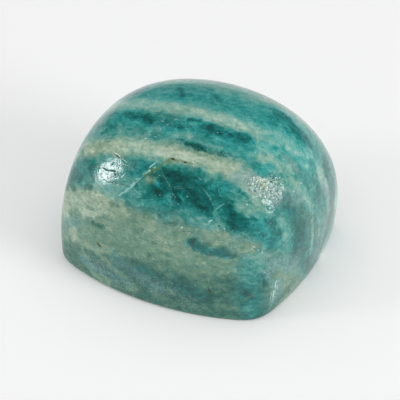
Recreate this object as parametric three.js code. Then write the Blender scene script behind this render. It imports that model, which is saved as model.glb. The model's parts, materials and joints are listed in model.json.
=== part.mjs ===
// A polished amazonite: one solid stone, cut as a soft cushion-shaped block that rests on a broad
// flat foot. Four upright faces and a crown, each slightly bowed, run together over rounded ridges.
// Units are millimetres and +Z is up. The origin is at the middle of the foot.

import * as THREE from 'three';
import { mergeVertices } from 'three/addons/utils/BufferGeometryUtils.js';

// Driving dimensions

// Each face is part of a large sphere. Its reach is how far it stands from the block's axis, or for
// the crown how high it stands over the foot. Its bow is the sphere's radius. Its turn is the way
// it faces, in degrees from +X towards +Y, and its lean is how far it faces upwards.
const FACES = {
  front: { reach: 14.4, bow: 39, turn: -85, lean: 3 },
  right: { reach: 16.1, bow: 43, turn: -5, lean: -6.5 },
  back: { reach: 16.1, bow: 36, turn: 95, lean: 6 },
  left: { reach: 19, bow: 51, turn: 175, lean: 0 },
  crown: { reach: 26.9, bow: 40, turn: 0, lean: 90 },
};
const WAIST_HEIGHT = 6; // height over the foot at which the upright faces have their reach

// How tightly the ridges between the faces are turned, per millimetre: crisp low down, where the
// block is least worn, and broad and soft from CROWN_START upwards.
const RIDGE_AT_FOOT = 1.45;
const RIDGE_AT_CROWN = 0.38;
const CROWN_START = 22;

const FOOT_BEVEL = 0.35; // the narrow worn edge round the foot

// Faces of the grid that is laid over the stone.
const CELLS_ACROSS = 28; // over the crown, each way
const CELLS_UP = 14; // from the bevel to the crown's corners
const FAR = 60; // beyond the stone in every direction
const HALVINGS = 40;

// Materials

const amazonite = new THREE.MeshStandardMaterial({
  color: 0x4e9a8f,
  roughness: 0.28,
  metalness: 0,
});

// The stone's form

// A face as a sphere: its centre and its radius.
function faceSphere({ reach, bow, turn, lean }) {
  const facing = new THREE.Vector3(1, 0, 0)
    .applyAxisAngle(new THREE.Vector3(0, 1, 0), -THREE.MathUtils.degToRad(lean))
    .applyAxisAngle(new THREE.Vector3(0, 0, 1), THREE.MathUtils.degToRad(turn));
  const base = new THREE.Vector3(0, 0, lean === 90 ? 0 : WAIST_HEIGHT);
  return new THREE.Sphere(base.addScaledVector(facing, reach - bow), bow);
}

const spheres = Object.values(FACES).map(faceSphere);

// How tightly the ridges are turned at one height.
function ridgeTightness(z) {
  const rise = THREE.MathUtils.clamp(z / CROWN_START, 0, 1);
  const eased = rise * (2 - rise);
  return THREE.MathUtils.lerp(RIDGE_AT_FOOT, RIDGE_AT_CROWN, eased);
}

// Below zero inside the stone and above zero outside it: a smooth maximum of the distances to the
// five faces.
function outsideBy(point) {
  const tightness = ridgeTightness(point.z);
  const distances = spheres.map((sphere) => sphere.distanceToPoint(point));
  const largest = Math.max(...distances);
  const sum = distances.reduce((total, d) => total + Math.exp(tightness * (d - largest)), 0);
  return largest + Math.log(sum) / tightness;
}

// Where a ray from the middle of the block's base leaves the stone.
function surfaceAlong(direction) {
  const start = new THREE.Vector3(0, 0, FOOT_BEVEL);
  const ray = new THREE.Ray(start, direction.clone().normalize());
  const point = new THREE.Vector3();
  let inside = 0;
  let outside = FAR;
  for (let i = 0; i < HALVINGS; i++) {
    const middle = (inside + outside) / 2;
    if (outsideBy(ray.at(middle, point)) < 0) {
      inside = middle;
    } else {
      outside = middle;
    }
  }
  return ray.at(inside, point);
}

// A box without its underside, laid over the stone from the middle of its base. The lowest row of
// cells is the bevel, and the rest are at equal angles.
function layGrid() {
  const rows = CELLS_UP + 1;
  const box = new THREE.BoxGeometry(2, 2, 2, CELLS_ACROSS, CELLS_ACROSS, rows);
  const underside = box.groups[5];
  box.setIndex([...box.index.array.slice(0, underside.start)]);
  box.deleteAttribute('normal');
  box.deleteAttribute('uv');
  const grid = mergeVertices(box);
  const position = grid.attributes.position;
  const spread = (share) => Math.tan(share * Math.PI / 4);
  for (let i = 0; i < position.count; i++) {
    const row = Math.round((position.getZ(i) + 1) / 2 * rows);
    const up = Math.max(row - 1, 0) / CELLS_UP;
    const direction = new THREE.Vector3(spread(position.getX(i)), spread(position.getY(i)), spread(up));
    const point = surfaceAlong(direction);
    if (row === 0) {
      const radius = Math.hypot(point.x, point.y);
      point.multiplyScalar(1 - FOOT_BEVEL / radius).setZ(0);
    }
    position.setXYZ(i, point.x, point.y, point.z);
  }
  return grid;
}

// The flat foot: a fan from its middle to the grid's lowest row.
function closeFoot(grid) {
  const position = grid.attributes.position;
  const angleOf = (i) => Math.atan2(position.getY(i), position.getX(i));
  const rim = [...Array(position.count).keys()]
    .filter((i) => position.getZ(i) === 0)
    .sort((a, b) => angleOf(a) - angleOf(b));
  const middle = position.count;
  const fan = rim.flatMap((vertex, i) => [middle, rim[(i + 1) % rim.length], vertex]);
  const closed = new THREE.BufferGeometry();
  closed.setAttribute('position', new THREE.Float32BufferAttribute([...position.array, 0, 0, 0], 3));
  closed.setIndex([...grid.index.array, ...fan]);
  return closed;
}

// The whole stone, moved so that the origin is under the middle of its outline.
function stoneGeometry() {
  const stone = closeFoot(layGrid());
  stone.computeBoundingBox();
  const middle = stone.boundingBox.getCenter(new THREE.Vector3());
  stone.translate(-middle.x, -middle.y, 0);
  stone.computeVertexNormals();
  return stone;
}

// The object

const group = new THREE.Group();
const stone = new THREE.Mesh(stoneGeometry(), amazonite);
stone.name = 'amazonite_stone';
group.add(stone);

export default group;
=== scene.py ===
# A polished amazonite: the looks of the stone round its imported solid. Blender 4.5, metres, +Z up.

import json
import math
import random

import bpy
import numpy as np
from mathutils import Matrix, Vector, noise

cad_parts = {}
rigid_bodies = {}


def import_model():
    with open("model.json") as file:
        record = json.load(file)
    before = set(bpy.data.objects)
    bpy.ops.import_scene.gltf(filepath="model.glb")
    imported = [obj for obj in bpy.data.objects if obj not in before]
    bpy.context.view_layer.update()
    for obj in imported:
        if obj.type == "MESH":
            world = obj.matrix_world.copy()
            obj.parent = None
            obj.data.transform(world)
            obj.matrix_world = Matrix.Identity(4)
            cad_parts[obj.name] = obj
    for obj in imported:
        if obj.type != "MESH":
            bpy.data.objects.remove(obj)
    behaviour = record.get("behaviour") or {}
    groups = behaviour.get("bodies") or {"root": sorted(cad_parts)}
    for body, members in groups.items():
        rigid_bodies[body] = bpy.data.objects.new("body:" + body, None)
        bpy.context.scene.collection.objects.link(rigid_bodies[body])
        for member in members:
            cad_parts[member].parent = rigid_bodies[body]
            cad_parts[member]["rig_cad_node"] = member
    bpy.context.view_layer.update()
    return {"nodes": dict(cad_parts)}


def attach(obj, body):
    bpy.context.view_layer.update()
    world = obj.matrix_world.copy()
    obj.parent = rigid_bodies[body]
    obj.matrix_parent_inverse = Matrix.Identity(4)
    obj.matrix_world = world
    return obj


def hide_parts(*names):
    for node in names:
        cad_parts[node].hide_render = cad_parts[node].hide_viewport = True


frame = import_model()

MM = 0.001
STONE_NODE = "amazonite_stone"
SEED = 7

# The photograph's camera, in the stone's own frame

VIEW_TURN = math.radians(26.0)
VIEW_RISE = math.radians(40.0)
VIEW_DISTANCE = 400 * MM
VIEW_CENTRE = Vector((2.06, -4.55, 12.0)) * MM
PHOTO_WIDTH = 400        # pixels
PIXELS_PER_MM = 7.204    # at VIEW_CENTRE
SENSOR_WIDTH = 36.0      # mm


def direction(turn, rise):
    """The unit vector towards a place seen from the stone: turn 0 is -Y and 90 degrees is +X."""
    level = math.cos(rise)
    return Vector((math.sin(turn) * level, -math.cos(turn) * level, math.sin(rise)))


VIEW_BACK = direction(VIEW_TURN, VIEW_RISE)
VIEW_RIGHT = Vector((math.cos(VIEW_TURN), math.sin(VIEW_TURN), 0))
VIEW_UP = VIEW_BACK.cross(VIEW_RIGHT)
EYE = VIEW_CENTRE + VIEW_BACK * VIEW_DISTANCE

# The stone's layers: flat sheets of cream and blue-green feldspar, one behind the other

LAYER_NORMAL = Vector((-0.072, 0.849, 0.523)).normalized()
LAYER_ALONG = Vector((LAYER_NORMAL.y, -LAYER_NORMAL.x, 0)).normalized()
LAYER_ACROSS = LAYER_NORMAL.cross(LAYER_ALONG)
# The same three directions, for arithmetic on many places at once
ALONG, ACROSS, THROUGH = np.array((LAYER_ALONG, LAYER_ACROSS, LAYER_NORMAL))

# How pale the stone is at each height through the layers: millimetres along LAYER_NORMAL from the
# origin, and 0 for deep blue-green to 1 for cream.
LAYERS = [
    (-13.0, 0.16), (-9.6, 0.18), (-8.4, 0.24), (-7.4, 0.46), (-6.0, 0.54), (-3.4, 0.52),
    (-2.4, 0.38), (-1.4, 0.18), (-0.4, 0.12), (1.0, 0.18), (1.9, 0.32), (2.6, 0.76), (3.2, 1.00),
    (4.1, 1.00), (4.8, 0.68), (5.8, 0.50), (7.2, 0.38), (8.6, 0.36), (9.4, 0.70), (10.1, 0.94),
    (11.0, 0.90), (11.9, 0.56), (12.7, 0.42), (14.4, 0.44), (15.4, 0.62), (16.4, 0.80),
    (17.3, 0.76), (18.4, 0.40), (20.2, 0.66), (21.4, 0.84), (22.4, 0.44), (24.0, 0.30),
]
# How warm and olive the stone is at each height, from 0 to 1.
WARM_LAYERS = [
    (-14.0, 0.9), (-3.6, 0.9), (-2.6, 0.1), (2.2, 0.1), (3.2, 0.5), (4.2, 0.5), (5.2, 0.1),
    (15.4, 0.1), (16.4, 0.5), (17.4, 0.1), (20.2, 0.1), (21.4, 0.5),
]


def deselect_all():
    """Leaves nothing selected, so that an operator acts only on what is chosen next."""
    bpy.ops.object.select_all(action="DESELECT")


def choose(piece):
    """Makes one object the only selected one and the active one."""
    deselect_all()
    piece.select_set(True)
    bpy.context.view_layer.objects.active = piece


def edit_faces(piece, chosen):
    """Opens a piece in edit mode with only some of its faces selected."""
    choose(piece)
    bpy.ops.object.mode_set(mode="EDIT")
    bpy.ops.mesh.select_mode(type="FACE")
    bpy.ops.mesh.select_all(action="DESELECT")
    bpy.ops.object.mode_set(mode="OBJECT")
    piece.data.polygons.foreach_set("select", chosen)
    bpy.ops.object.mode_set(mode="EDIT")


def leave_edit():
    """Back to object mode."""
    bpy.ops.object.mode_set(mode="OBJECT")


def rows_of(parts, name):
    """A three-number value of a mesh's vertices or faces, one row each."""
    rows = np.empty(len(parts) * 3)
    parts.foreach_get(name, rows)
    return rows.reshape(-1, 3)


def vertex_places(piece):
    """A piece's vertices in millimetres, one row each."""
    return rows_of(piece.data.vertices, "co") / MM


def face_middles(piece):
    """The middles of a piece's faces in millimetres, one row each."""
    return rows_of(piece.data.polygons, "center") / MM


def faces_down(piece):
    """Which of a piece's faces look straight down."""
    return rows_of(piece.data.polygons, "normal")[:, 2] < -0.999


# Camera and light

SOFTBOXES = {
    # name: turn and rise in degrees, then distance, width and height in metres, and how bright
    "left_softbox": (-54, 8, 1.80, 0.44, 0.52, 18.0),
    "right_softbox": (84, 17, 1.80, 0.68, 0.68, 12.0),
    "overhead_panel": (26, 85, 0.60, 1.20, 1.20, 0.9),
}
SEEN_IN_GLOSS = ("left_softbox", "right_softbox")
WORLD_GREY = 0.20
FLOOR_SIZE = 4.0    # metres
FLOOR_FINISH = {
    "Base Color": (0.85, 0.85, 0.85, 1),
    "Roughness": 0.9,
    "Specular IOR Level": 0.1,
    "Emission Color": (1, 1, 1, 1),
    "Emission Strength": 0.15,
}


def add_camera():
    """The camera where the photograph was taken from."""
    bpy.ops.object.camera_add(location=EYE)
    camera = bpy.context.active_object
    camera.rotation_mode = "QUATERNION"
    camera.rotation_quaternion = (-VIEW_BACK).to_track_quat("-Z", "Y")
    focal_length_in_pixels = PIXELS_PER_MM / MM * VIEW_DISTANCE
    camera.data.sensor_width = SENSOR_WIDTH
    camera.data.lens = focal_length_in_pixels * SENSOR_WIDTH / PHOTO_WIDTH
    camera.data.clip_start = 0.05
    camera.data.clip_end = 20
    bpy.context.scene.camera = camera


def add_softbox(name, turn, rise, distance, width, height, brightness):
    """A rectangular soft light, aimed at the stone."""
    towards = direction(math.radians(turn), math.radians(rise))
    bpy.ops.object.light_add(type="AREA", location=VIEW_CENTRE + towards * distance)
    box = bpy.context.active_object
    box.name = name
    box.rotation_mode = "QUATERNION"
    box.rotation_quaternion = towards.to_track_quat("Z", "Y")
    box.data.shape = "RECTANGLE"
    box.data.size = width
    box.data.size_y = height
    box.data.energy = brightness * math.pi * width * height
    box.visible_camera = False
    box.visible_glossy = name in SEEN_IN_GLOSS


def add_world():
    """An even grey room."""
    world = bpy.data.worlds.new("studio")
    bpy.context.scene.world = world
    world.use_nodes = True
    background = world.node_tree.nodes["Background"]
    background.inputs["Color"].default_value = (1, 1, 1, 1)
    background.inputs["Strength"].default_value = WORLD_GREY


def add_floor():
    """A plain white floor."""
    bpy.ops.mesh.primitive_plane_add(size=FLOOR_SIZE)
    floor = bpy.context.active_object
    floor.name = "floor"
    white = bpy.data.materials.new("white_floor")
    white.use_nodes = True
    shader = white.node_tree.nodes["Principled BSDF"]
    for socket, value in FLOOR_FINISH.items():
        shader.inputs[socket].default_value = value
    floor.data.materials.append(white)


# The stone's shape

MERGE_DISTANCE = 0.001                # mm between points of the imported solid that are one
QUAD_FOLD = math.radians(60)          # how far two triangles that become a quad may fold
QUAD_SKEW = math.radians(180)         # how far a quad's corners may be from square
SOLID_CELLS = 2                       # levels of subdivision over the solid's quads
FOOT_BEVEL = 0.12                     # mm, the eased edge of the foot
FOOT_EDGE_INSET = 0.25                # mm, keeps the foot flat up to its edge


def copy_of_solid():
    """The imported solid's shape as a new piece: its triangles merged and paired into quads."""
    choose(frame["nodes"][STONE_NODE])
    bpy.ops.object.duplicate()
    stone = bpy.context.active_object
    stone.name = "polished_stone"
    stone.parent = None
    del stone["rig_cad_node"]
    bpy.ops.object.mode_set(mode="EDIT")
    bpy.ops.mesh.select_all(action="SELECT")
    bpy.ops.mesh.remove_doubles(threshold=MERGE_DISTANCE * MM)
    leave_edit()
    edit_faces(stone, faces_down(stone))
    bpy.ops.mesh.dissolve_faces()
    bpy.ops.mesh.select_all(action="INVERT")
    bpy.ops.mesh.tris_convert_to_quads(face_threshold=QUAD_FOLD, shape_threshold=QUAD_SKEW)
    bpy.ops.mesh.select_all(action="INVERT")
    bpy.ops.mesh.region_to_loop()
    bpy.ops.mesh.bevel(offset=FOOT_BEVEL * MM, segments=2, affect="EDGES")
    leave_edit()
    on_floor = face_middles(stone)[:, 2] < MERGE_DISTANCE
    edit_faces(stone, faces_down(stone) & on_floor)
    bpy.ops.mesh.inset(thickness=FOOT_EDGE_INSET * MM)
    leave_edit()
    return stone


def apply_modifier(piece, kind, **settings):
    """Adds one modifier to a piece, sets it and applies it."""
    choose(piece)
    modifier = piece.modifiers.new(kind.lower(), kind)
    for name, value in settings.items():
        setattr(modifier, name, value)
    bpy.ops.object.modifier_apply(modifier=modifier.name)


def smooth_surface(stone):
    """The polished surface over the solid's cells."""
    apply_modifier(stone, "SUBSURF", levels=SOLID_CELLS, render_levels=SOLID_CELLS)
    choose(stone)
    bpy.ops.object.shade_smooth()


# Marks are strokes over the stone: the places that they pass through, and a half width. Those on
# the photographed side are given by the photograph's pixels, and the others are drawn at random.

FAR_OUTSIDE = -3.0                      # mm, the reach of a place that no stroke is near
TURNED_AWAY = -0.15                     # cosine to the line of sight, below which a place is hidden
HIDDEN_TURNS = (95, 265)                # degrees, counted from the camera
HIDDEN_RISES = (-5, 50)                 # degrees
STONE_MIDDLE = Vector((0, 0, 10)) * MM
OUTSIDE = 100 * MM                      # further from the middle than any part of the stone


def on_stone(stone, pixel):
    """The point of the stone, in millimetres, that shows at or nearest to a photograph's pixel."""
    across = (pixel[0] - PHOTO_WIDTH / 2) / PIXELS_PER_MM * MM
    down = (pixel[1] - PHOTO_WIDTH / 2) / PIXELS_PER_MM * MM
    through = VIEW_CENTRE + VIEW_RIGHT * across - VIEW_UP * down
    found, place, _normal, _face = stone.ray_cast(EYE, (through - EYE).normalized())
    if not found:
        _found, place, _normal, _face = stone.closest_point_on_mesh(through)
    return np.array(place) / MM


def placed(stone, marks):
    """Marks given by pixels, as strokes on the stone with the rest of each mark's values."""
    strokes = []
    for pixels, *values in marks:
        line = np.array([on_stone(stone, pixel) for pixel in pixels])
        strokes.append((line, *values))
    return strokes


def distance_to_line(places, line):
    """How far each place is from a line of points, in millimetres."""
    if len(line) == 1:
        return np.linalg.norm(places - line[0], axis=1)
    nearest = np.full(len(places), np.inf)
    for start, end in zip(line[:-1], line[1:]):
        along = end - start
        share = np.clip((places - start) @ along / (along @ along), 0, 1)
        gap = np.linalg.norm(places - start - share[:, None] * along, axis=1)
        nearest = np.minimum(nearest, gap)
    return nearest


def reach_of(places, strokes):
    """How deep each place lies inside the nearest stroke, in millimetres, and below 0 outside."""
    deepest = np.full(len(places), FAR_OUTSIDE)
    for line, half_width, *_ in strokes:
        deepest = np.maximum(deepest, half_width - distance_to_line(places, line))
    return deepest


def wandering_line(stone, start, heading, length, wobble, step):
    """A line over the stone from a place, in millimetres, that wanders at each step."""
    line = [np.array(start)]
    heading = np.array(heading)
    while len(line) * step < length:
        heading = heading + wobble * np.array([random.gauss(0, 1) for _axis in range(3)])
        heading /= np.linalg.norm(heading)
        ahead = Vector(line[-1] + heading * step) * MM
        _found, place, normal, _face = stone.closest_point_on_mesh(ahead)
        normal = np.array(normal)
        heading -= normal * (heading @ normal)
        line.append(np.array(place) / MM)
    return np.array(line)


def is_seen(stone, place):
    """Whether a place of the stone, in millimetres, faces the camera or nearly so."""
    place = Vector(place) * MM
    _found, _place, normal, _face = stone.closest_point_on_mesh(place)
    return normal.dot((EYE - place).normalized()) > TURNED_AWAY


def hidden_place(stone):
    """A random place on the sides that the photograph doesn't show, in millimetres."""
    place = None
    while place is None or is_seen(stone, place):
        turn = VIEW_TURN + math.radians(random.uniform(*HIDDEN_TURNS))
        rise = math.radians(random.uniform(*HIDDEN_RISES))
        towards = direction(turn, rise)
        _found, place, _normal, _face = stone.ray_cast(STONE_MIDDLE + towards * OUTSIDE, -towards)
        place = place / MM
    return np.array(place)


# Bodies of deeper and paler feldspar: pixels, half width in mm, paleness and how fully they cover

BODIES = [
    # the crown
    ([(134, 97), (146, 91)], 0.9, 0.62, 0.8),
    ([(150, 92), (172, 89), (196, 91)], 1.2, 0.52, 0.8),
    ([(160, 98), (180, 101), (204, 106)], 0.6, 0.62, 0.7),
    ([(181, 88), (182, 97)], 0.4, 0.16, 0.9),
    ([(196, 98), (212, 100), (228, 102)], 0.5, 0.36, 0.8),
    ([(205, 87), (213, 90)], 0.4, 0.36, 0.8),
    ([(217, 96), (221, 102)], 0.4, 0.24, 0.9),
    ([(232, 90), (240, 99)], 0.6, 0.54, 0.7),
    ([(238, 106), (251, 115)], 0.6, 0.30, 0.9),
    ([(251, 98), (257, 108), (255, 117)], 0.25, 0.62, 0.8),
    ([(262, 112), (276, 118), (290, 130)], 1.0, 0.38, 0.8),
    ([(280, 115), (294, 127), (307, 143)], 1.5, 0.16, 0.95),
    ([(302, 131), (306, 137)], 0.4, 0.06, 0.9),
    # deep bodies in the upper blue-green layer
    ([(102, 120), (114, 118)], 0.7, 0.56, 0.7),
    ([(118, 117), (134, 115), (152, 121)], 0.7, 0.24, 0.9),
    ([(145, 117), (151, 122)], 0.3, 0.00, 0.95),
    ([(130, 113), (136, 118)], 0.3, 0.08, 0.9),
    ([(102, 132), (113, 127)], 0.4, 0.22, 0.9),
    ([(160, 113), (176, 117)], 0.5, 0.38, 0.8),
    ([(168, 126), (182, 128), (192, 127)], 0.4, 0.20, 0.9),
    ([(188, 119), (200, 121)], 0.4, 0.02, 0.9),
    ([(196, 129), (214, 130), (230, 135), (247, 139)], 0.9, 0.16, 0.95),
    ([(212, 128), (218, 133)], 0.4, -0.12, 0.95),
    ([(202, 127), (208, 132)], 0.3, 0.02, 0.9),
    ([(236, 134), (248, 141)], 0.4, 0.06, 0.95),
    ([(226, 129), (232, 132)], 0.25, 0.40, 0.8),
    ([(226, 145), (250, 146)], 0.5, 0.36, 0.8),
    ([(187, 144), (204, 149)], 0.4, -0.12, 1.0),
    ([(206, 150), (226, 156)], 0.2, 0.10, 0.9),
    ([(206, 149), (210, 150)], 0.2, 0.02, 0.9),
    ([(219, 155), (227, 156)], 0.25, -0.05, 0.9),
    # the haze between them
    ([(150, 131), (158, 128), (166, 134)], 0.5, 0.62, 0.8),
    ([(170, 135), (182, 134), (192, 136)], 0.4, 0.70, 0.8),
    ([(206, 146), (220, 148)], 0.3, 0.68, 0.8),
    ([(210, 152), (240, 154)], 0.5, 0.50, 0.7),
    # the cream layers where they brighten, fray and end
    ([(80, 152), (92, 146), (108, 145)], 0.8, 0.72, 0.7),
    ([(168, 154), (188, 157), (206, 161)], 0.5, 1.08, 0.8),
    ([(232, 172), (246, 184), (258, 198)], 1.3, 0.96, 0.9),
    ([(262, 204), (272, 212)], 0.8, 0.70, 0.8),
    ([(256, 186), (270, 188), (284, 192)], 1.0, 0.88, 0.8),
    ([(254, 132), (268, 135)], 0.6, 0.84, 0.8),
    ([(264, 138), (284, 142), (304, 148)], 0.7, 0.66, 0.8),
    ([(262, 145), (266, 152), (258, 158)], 1.2, 0.74, 0.9),
    # the stone left of the long vein
    ([(80, 160), (87, 174), (80, 186)], 1.4, 0.34, 0.9),
    ([(79, 172), (80, 186)], 0.3, 0.12, 0.9),
    ([(90, 168), (92, 176)], 0.3, 0.06, 0.9),
    ([(98, 158), (104, 180)], 0.8, 0.50, 0.8),
    ([(112, 166), (128, 174), (118, 180)], 0.9, 0.62, 0.8),
    ([(106, 197), (120, 200), (132, 196)], 0.7, 0.74, 0.9),
    ([(98, 187), (114, 191), (126, 188)], 1.1, 0.72, 0.9),
    ([(118, 160), (130, 162)], 0.6, 0.46, 0.8),
    ([(133, 172), (146, 163)], 0.6, 0.32, 0.9),
    ([(124, 184), (134, 178), (146, 172)], 0.5, 0.60, 0.8),
    # the deep body under the second cream layer
    ([(154, 182), (168, 182), (190, 184), (206, 204)], 1.8, 0.04, 1.0),
    ([(152, 173), (158, 177)], 0.4, -0.04, 0.9),
    ([(170, 173), (184, 180)], 0.6, -0.12, 0.95),
    ([(154, 192), (163, 194)], 0.5, -0.14, 0.95),
    ([(138, 185), (150, 184)], 0.2, -0.05, 0.9),
    ([(174, 192), (178, 202)], 0.35, -0.16, 0.95),
    ([(188, 192), (200, 200)], 0.8, -0.10, 0.95),
    ([(202, 206), (211, 214)], 0.5, -0.20, 0.95),
    ([(140, 183), (148, 179), (156, 182)], 0.5, 0.60, 0.9),
    ([(146, 174), (154, 169), (160, 164)], 0.4, 0.52, 0.9),
    ([(184, 191), (187, 196)], 0.25, 0.14, 0.8),
    ([(174, 166), (196, 170), (206, 176)], 0.4, 0.28, 0.8),
    ([(126, 195), (144, 193)], 0.7, 0.42, 0.9),
    ([(132, 202), (152, 204)], 0.6, 0.40, 0.9),
    ([(164, 204), (172, 213), (200, 216)], 0.8, 0.36, 0.9),
    ([(176, 222), (200, 221), (216, 225)], 0.4, 0.62, 0.8),
    ([(224, 228), (240, 236), (256, 244)], 0.6, 0.56, 0.8),
    ([(167, 196), (170, 204)], 0.4, 0.42, 0.8),
    ([(212, 186), (223, 192)], 0.5, 0.20, 0.9),
    ([(218, 180), (230, 190), (240, 202)], 0.9, 0.42, 0.9),
    ([(212, 194), (218, 206)], 0.6, 0.30, 0.8),
    ([(227, 208), (232, 217), (234, 226)], 0.9, -0.08, 0.95),
    ([(240, 225), (252, 229)], 0.4, 0.14, 0.9),
    ([(215, 214), (218, 222)], 0.5, 0.50, 0.8),
    # the right side
    ([(262, 160), (272, 160), (280, 168)], 0.8, 0.84, 0.8),
    # this pale body over the right highlight is partly cream stone and partly a painted highlight
    ([(268, 178), (280, 186), (284, 196)], 1.0, 0.90, 0.8),
    ([(273, 147), (284, 151), (291, 156)], 0.4, 0.26, 0.9),
    ([(294, 157), (307, 162)], 0.5, 0.42, 0.8),
    ([(252, 163), (262, 172)], 0.7, 0.34, 0.9),
    ([(264, 170), (276, 176)], 0.5, 0.48, 0.8),
    ([(284, 160), (293, 176), (300, 196)], 1.4, 0.76, 0.9),
    ([(297, 175), (308, 178)], 0.5, 0.38, 0.8),
    ([(311, 160), (312, 172)], 0.4, 0.46, 0.8),
    ([(312, 180), (309, 190)], 0.4, 0.46, 0.8),
    ([(309, 150), (312, 153)], 0.35, 0.90, 0.8),
    ([(326, 166), (333, 190), (332, 214), (322, 246)], 1.5, 0.16, 0.95),
    ([(288, 202), (300, 214), (314, 232), (316, 246)], 1.6, 0.30, 1.0),
    ([(312, 164), (316, 180), (318, 200)], 0.9, 0.34, 0.9),
    ([(307, 198), (312, 208)], 0.5, 0.82, 0.8),
    ([(328, 200), (329, 212)], 0.5, 0.80, 0.8),
    ([(317, 197), (318, 204)], 0.25, 0.40, 0.8),
    ([(242, 204), (260, 216)], 1.0, 0.66, 0.9),
    ([(254, 222), (266, 230)], 0.7, 0.46, 0.9),
    ([(284, 222), (291, 240), (285, 258)], 1.3, 0.58, 0.8),
    ([(260, 232), (270, 240), (273, 248)], 0.8, 0.22, 0.9),
    ([(268, 240), (272, 243)], 0.3, 0.06, 0.9),
    ([(286, 205), (290, 213)], 0.5, 0.26, 0.9),
    ([(290, 210), (298, 224), (301, 240)], 1.2, 0.14, 0.95),
    ([(296, 224), (301, 238)], 0.4, 0.02, 0.9),
    ([(281, 218), (286, 236), (280, 242)], 0.4, 0.64, 0.9),
    ([(313, 220), (313, 238), (311, 254)], 0.3, 0.72, 0.9),
    ([(322, 228), (318, 252)], 0.7, 0.20, 0.9),
    # the left side
    ([(64, 200), (84, 200), (102, 204)], 1.5, 0.90, 0.9),
    ([(82, 214), (100, 212)], 0.8, 0.98, 0.9),
    ([(104, 211), (124, 214)], 0.8, 0.80, 0.9),
    ([(86, 206), (92, 208)], 0.3, 0.60, 0.7),
    ([(65, 212), (72, 224), (72, 236)], 0.9, 0.92, 0.9),
    ([(80, 224)], 0.4, 0.42, 0.8),
    ([(92, 223), (103, 228)], 0.4, 0.04, 0.95),
    ([(66, 221), (84, 223)], 0.25, 0.46, 0.8),
    ([(105, 217), (113, 221)], 0.35, 0.38, 0.8),
    ([(78, 240), (92, 249), (110, 250)], 0.8, 0.74, 0.9),
    ([(66, 246), (72, 252), (75, 262)], 1.0, 0.14, 0.95),
    # low on the front
    ([(127, 202), (133, 209)], 0.2, 0.12, 0.9),
    ([(148, 230), (168, 240)], 0.8, 0.62, 0.8),
    ([(156, 215), (156, 218)], 0.25, 0.80, 0.9),
    ([(160, 216), (166, 222), (176, 224)], 0.4, 0.14, 0.9),
    ([(202, 228), (220, 232), (238, 238)], 0.7, 0.58, 0.8),
    ([(190, 243), (196, 244)], 0.4, 0.30, 0.9),
    ([(194, 245), (206, 249)], 0.9, -0.10, 1.0),
    ([(204, 248), (218, 252), (230, 255)], 0.7, 0.12, 0.95),
    ([(198, 258), (214, 264), (232, 266)], 0.6, 0.40, 0.85),
    ([(206, 245), (226, 247)], 0.25, 0.30, 0.8),
    ([(240, 248), (254, 254), (261, 262)], 1.0, 0.62, 0.8),
    ([(162, 256), (176, 260)], 0.5, 0.60, 0.8),
    ([(178, 264), (206, 271), (236, 276)], 1.0, 0.46, 0.85),
    ([(150, 248), (176, 252), (190, 258)], 0.6, 0.64, 0.8),
    ([(108, 242), (130, 250), (150, 262)], 0.5, 0.40, 0.8),
    ([(160, 280), (180, 284)], 0.5, 0.12, 0.9),
    ([(84, 256), (92, 270), (106, 282)], 0.9, 0.56, 0.9),
    ([(106, 262), (120, 274), (132, 288)], 1.0, 0.46, 0.8),
    ([(138, 265), (150, 274), (160, 278)], 1.0, 0.12, 0.95),
    ([(152, 286), (180, 292)], 0.5, 0.42, 0.8),
    ([(178, 278), (188, 282)], 0.5, 0.08, 0.9),
    ([(182, 288), (206, 298)], 1.6, 0.02, 0.95),
    ([(218, 306), (244, 310)], 0.6, 0.36, 0.7),
    ([(230, 282), (244, 290), (252, 302)], 1.3, 0.18, 0.95),
    ([(238, 262), (246, 276)], 0.6, 0.26, 0.9),
    ([(242, 292), (250, 296)], 0.35, -0.08, 0.9),
    ([(248, 268), (256, 282)], 1.0, 0.40, 0.95),
    ([(262, 275), (266, 287)], 0.6, 0.00, 0.95),
    ([(268, 268), (275, 280)], 0.4, 0.34, 0.9),
    ([(284, 268), (293, 262)], 0.4, 0.38, 0.9),
    ([(266, 290), (272, 300)], 0.35, 0.22, 0.9),
    ([(278, 300), (290, 286), (296, 278)], 0.9, 0.24, 0.95),
    ([(262, 292), (252, 311)], 1.0, 0.34, 0.9),
    ([(270, 264), (284, 270), (297, 272)], 0.8, 0.60, 0.8),
    ([(277, 282), (275, 292), (272, 302)], 0.35, 0.96, 0.9),
]
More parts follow.
